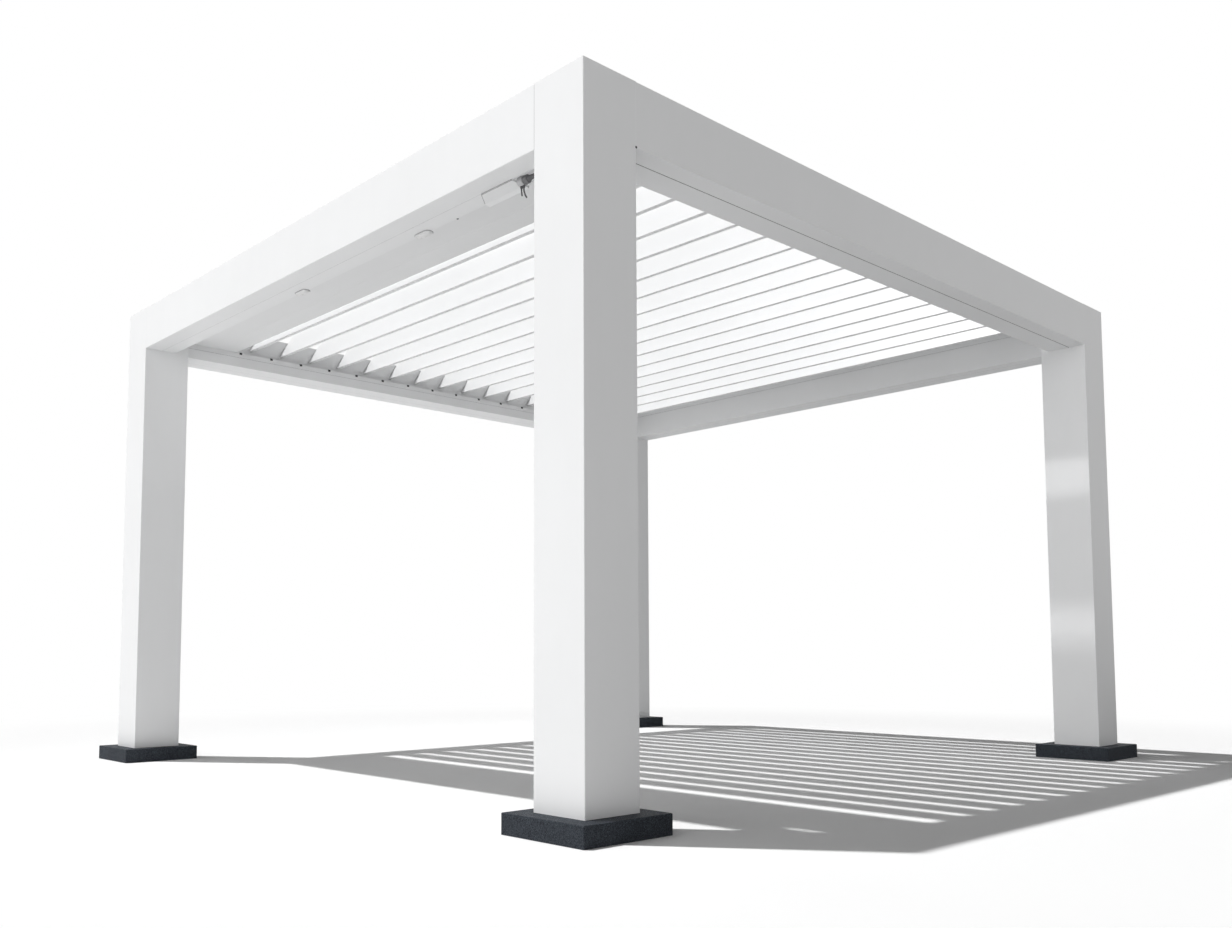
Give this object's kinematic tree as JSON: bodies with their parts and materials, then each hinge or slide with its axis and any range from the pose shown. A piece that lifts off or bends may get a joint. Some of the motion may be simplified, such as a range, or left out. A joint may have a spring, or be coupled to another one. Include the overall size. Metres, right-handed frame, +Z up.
{
  "type": "louvered pergola",
  "caption": "Free-standing louvered pergola: square posts on stone pads, a box-beam frame with gutters and a roof of coupled tilting blades.",
  "frame": {"origin": "centre of the plan on the ground, under the stone pads", "axes": "+X along the side beams, from the left end to the right end; +Y along the blades, from front to rear; +Z up"},
  "size_m": [4.401, 4.156, 2.7058],
  "materials": {
    "frame_coat": "white powder coat, semi-gloss",
    "blade_coat": "white powder coat, semi-gloss",
    "stone": "sawn dark blue-grey granite",
    "bush_plastic": "matt",
    "bare_alloy": "mill",
    "drive_housing": "matt",
    "connector_plastic": "matt",
    "lead_rubber": "matt",
    "fitting_plastic": "satin"
  },
  "bodies": {
    "frame": {"cable_connector": "connector_plastic", "cable_lead_far": "lead_rubber", "cable_lead_near": "lead_rubber", "ceiling_board_inner": "frame_coat", "ceiling_board_outer": "frame_coat", "closing_board": "frame_coat", "end_beam_left": "frame_coat", "end_beam_right": "frame_coat", "end_gutter_left": "frame_coat", "end_gutter_right": "frame_coat", "louvre_motor": "drive_housing", "oval_fittings": "fitting_plastic", "pivot_bushes_front": "bush_plastic", "pivot_bushes_rear": "bush_plastic", "pivot_rail_front": "frame_coat", "pivot_rail_rear": "frame_coat", "post_caps": "frame_coat", "post_front_left": "frame_coat", "post_front_right": "frame_coat", "post_rear_left": "frame_coat", "post_rear_right": "frame_coat", "side_beam_front": "frame_coat", "side_beam_rear": "frame_coat", "side_gutter_front": "frame_coat", "side_gutter_rear": "frame_coat", "stone_pad_front_left": "stone", "stone_pad_front_right": "stone", "stone_pad_rear_left": "stone", "stone_pad_rear_right": "stone", "wiring_cover": "frame_coat"},
    "louvre_01": {"louvre_01": "blade_coat"},
    "louvre_02": {"louvre_02": "blade_coat"},
    "louvre_03": {"louvre_03": "blade_coat"},
    "louvre_04": {"louvre_04": "blade_coat"},
    "louvre_05": {"louvre_05": "blade_coat"},
    "louvre_06": {"louvre_06": "blade_coat"},
    "louvre_07": {"louvre_07": "blade_coat"},
    "louvre_08": {"louvre_08": "blade_coat"},
    "louvre_09": {"louvre_09": "blade_coat"},
    "louvre_10": {"louvre_10": "blade_coat"},
    "louvre_11": {"louvre_11": "blade_coat"},
    "louvre_12": {"louvre_12": "blade_coat"},
    "louvre_13": {"louvre_13": "blade_coat"},
    "louvre_14": {"louvre_14": "blade_coat"},
    "louvre_15": {"louvre_15": "blade_coat"},
    "louvre_16": {"louvre_16": "blade_coat"},
    "link_bar": {"link_bar": "bare_alloy"}
  },
  "joints": [
    {"name": "louvre_01_tilt", "type": "hinge", "parent": "frame", "child": "louvre_01", "pos_m": [-1.3725, 0, 2.599], "axis": [0, -1, 0], "range_deg": [-60, 75]},
    {"name": "louvre_02_tilt", "type": "hinge", "parent": "frame", "child": "louvre_02", "pos_m": [-1.1645, 0, 2.599], "axis": [0, -1, 0], "range_deg": [-60, 75]},
    {"name": "louvre_03_tilt", "type": "hinge", "parent": "frame", "child": "louvre_03", "pos_m": [-0.9565, 0, 2.599], "axis": [0, -1, 0], "range_deg": [-60, 75]},
    {"name": "louvre_04_tilt", "type": "hinge", "parent": "frame", "child": "louvre_04", "pos_m": [-0.7485, 0, 2.599], "axis": [0, -1, 0], "range_deg": [-60, 75]},
    {"name": "louvre_05_tilt", "type": "hinge", "parent": "frame", "child": "louvre_05", "pos_m": [-0.5405, 0, 2.599], "axis": [0, -1, 0], "range_deg": [-60, 75]},
    {"name": "louvre_06_tilt", "type": "hinge", "parent": "frame", "child": "louvre_06", "pos_m": [-0.3325, 0, 2.599], "axis": [0, -1, 0], "range_deg": [-60, 75]},
    {"name": "louvre_07_tilt", "type": "hinge", "parent": "frame", "child": "louvre_07", "pos_m": [-0.1245, 0, 2.599], "axis": [0, -1, 0], "range_deg": [-60, 75]},
    {"name": "louvre_08_tilt", "type": "hinge", "parent": "frame", "child": "louvre_08", "pos_m": [0.0835, 0, 2.599], "axis": [0, -1, 0], "range_deg": [-60, 75]},
    {"name": "louvre_09_tilt", "type": "hinge", "parent": "frame", "child": "louvre_09", "pos_m": [0.2915, 0, 2.599], "axis": [0, -1, 0], "range_deg": [-60, 75]},
    {"name": "louvre_10_tilt", "type": "hinge", "parent": "frame", "child": "louvre_10", "pos_m": [0.4995, 0, 2.599], "axis": [0, -1, 0], "range_deg": [-60, 75]},
    {"name": "louvre_11_tilt", "type": "hinge", "parent": "frame", "child": "louvre_11", "pos_m": [0.7075, 0, 2.599], "axis": [0, -1, 0], "range_deg": [-60, 75]},
    {"name": "louvre_12_tilt", "type": "hinge", "parent": "frame", "child": "louvre_12", "pos_m": [0.9155, 0, 2.599], "axis": [0, -1, 0], "range_deg": [-60, 75]},
    {"name": "louvre_13_tilt", "type": "hinge", "parent": "frame", "child": "louvre_13", "pos_m": [1.1235, 0, 2.599], "axis": [0, -1, 0], "range_deg": [-60, 75]},
    {"name": "louvre_14_tilt", "type": "hinge", "parent": "frame", "child": "louvre_14", "pos_m": [1.3315, 0, 2.599], "axis": [0, -1, 0], "range_deg": [-60, 75]},
    {"name": "louvre_15_tilt", "type": "hinge", "parent": "frame", "child": "louvre_15", "pos_m": [1.5395, 0, 2.599], "axis": [0, -1, 0], "range_deg": [-60, 75]},
    {"name": "louvre_16_tilt", "type": "hinge", "parent": "frame", "child": "louvre_16", "pos_m": [1.7475, 0, 2.599], "axis": [0, -1, 0], "range_deg": [-60, 75]},
    {"name": "link_bar_pivot", "type": "hinge", "parent": "louvre_01", "child": "link_bar", "pos_m": [-1.38033, 1.845, 2.53951], "axis": [0, -1, 0], "range_deg": [-75, 60]}
  ],
  "couplings": [
    {"joint": "louvre_02_tilt", "follows": "louvre_01_tilt", "ratio": 1},
    {"joint": "louvre_03_tilt", "follows": "louvre_01_tilt", "ratio": 1},
    {"joint": "louvre_04_tilt", "follows": "louvre_01_tilt", "ratio": 1},
    {"joint": "louvre_05_tilt", "follows": "louvre_01_tilt", "ratio": 1},
    {"joint": "louvre_06_tilt", "follows": "louvre_01_tilt", "ratio": 1},
    {"joint": "louvre_07_tilt", "follows": "louvre_01_tilt", "ratio": 1},
    {"joint": "louvre_08_tilt", "follows": "louvre_01_tilt", "ratio": 1},
    {"joint": "louvre_09_tilt", "follows": "louvre_01_tilt", "ratio": 1},
    {"joint": "louvre_10_tilt", "follows": "louvre_01_tilt", "ratio": 1},
    {"joint": "louvre_11_tilt", "follows": "louvre_01_tilt", "ratio": 1},
    {"joint": "louvre_12_tilt", "follows": "louvre_01_tilt", "ratio": 1},
    {"joint": "louvre_13_tilt", "follows": "louvre_01_tilt", "ratio": 1},
    {"joint": "louvre_14_tilt", "follows": "louvre_01_tilt", "ratio": 1},
    {"joint": "louvre_15_tilt", "follows": "louvre_01_tilt", "ratio": 1},
    {"joint": "louvre_16_tilt", "follows": "louvre_01_tilt", "ratio": 1},
    {"joint": "link_bar_pivot", "follows": "louvre_01_tilt", "ratio": -1}
  ]
}
